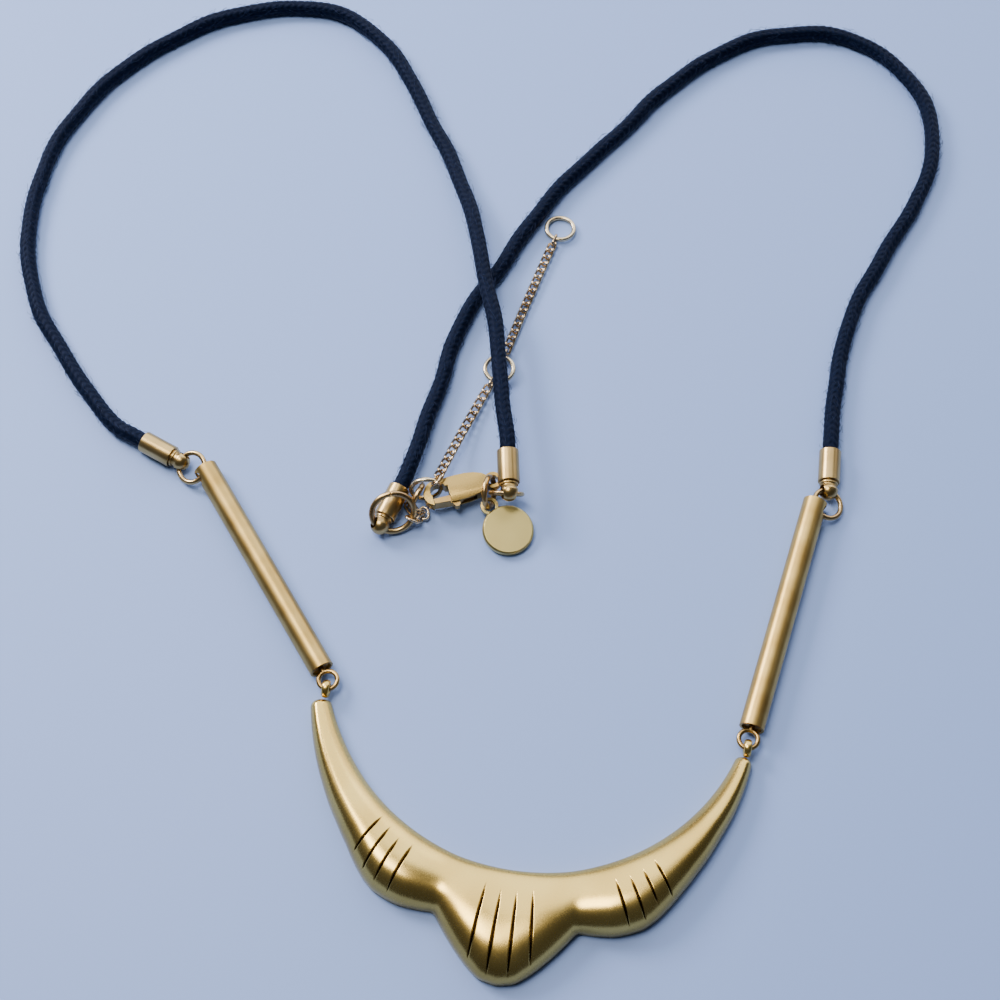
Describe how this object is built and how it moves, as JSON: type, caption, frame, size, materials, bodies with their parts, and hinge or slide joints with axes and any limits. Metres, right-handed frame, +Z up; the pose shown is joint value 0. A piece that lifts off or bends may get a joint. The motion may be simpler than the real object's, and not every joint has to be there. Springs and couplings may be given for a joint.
{
  "type": "cord necklace",
  "caption": "Braided cord necklace laid in a loop: a scalloped crescent pendant hung from two metal tubes, with cord end caps, a round tag, a lobster clasp and an extender chain.",
  "frame": {"origin": "on the pendant's flat back, on its line of symmetry and halfway across it", "axes": "+Z up from the surface that the necklace lies on, +Y from the pendant's point towards the clasp, +X across the pendant to the wearer's left"},
  "size_m": [0.1498, 0.1724, 0.0072],
  "materials": {
    "pendant_gold": "cast, plated in worn antique gold, satin, dark in the grooves",
    "tube_gold": "drawn tube, brushed along its length, plated in antique gold",
    "fitting_gold": "plated in antique gold, darker in the recesses",
    "ring_gold": "drawn round wire, plated in antique gold",
    "cap_gold": "turned, brushed round, plated in antique gold",
    "tag_gold": "stamped disc, satin, plated in pale gold",
    "clasp_gold": "cast, tumbled satin, plated in pale gold",
    "chain_rose": "drawn wire, bright, plated in rose gold",
    "cord_cotton": "braided cotton, lightly waxed, very dark blue"
  },
  "bodies": {
    "necklace": {"pendant": "pendant_gold", "tube_left": "tube_gold", "tube_right": "tube_gold", "tube_eye_left": "fitting_gold", "tube_eye_right": "fitting_gold", "ring_front_left": "ring_gold", "ring_front_right": "ring_gold", "cap_front_left": "cap_gold", "cap_front_right": "cap_gold", "cap_back_left": "cap_gold", "cap_back_right": "cap_gold", "cord_left": "cord_cotton", "cord_right": "cord_cotton", "ring_cap": "ring_gold", "ring_clasp": "ring_gold", "ring_back": "ring_gold", "tag": "tag_gold", "clasp_body": "clasp_gold", "extender_ring_inner": "chain_rose", "extender_ring_middle": "chain_rose", "extender_ring_end": "chain_rose", "ring_chain": "ring_gold", "chain_start": "chain_rose", "chain_inner": "chain_rose", "chain_outer": "chain_rose"},
    "lever": {"clasp_lever": "fitting_gold"}
  },
  "joints": [
    {"name": "lever_hinge", "type": "hinge", "parent": "necklace", "child": "lever", "pos_m": [-0.01653, 0.06453, 0.00245], "axis": [0, 0, -1], "range_deg": [0, 14], "stiffness_Nm_per_rad": 0.01, "springref_deg": -20.05}
  ]
}
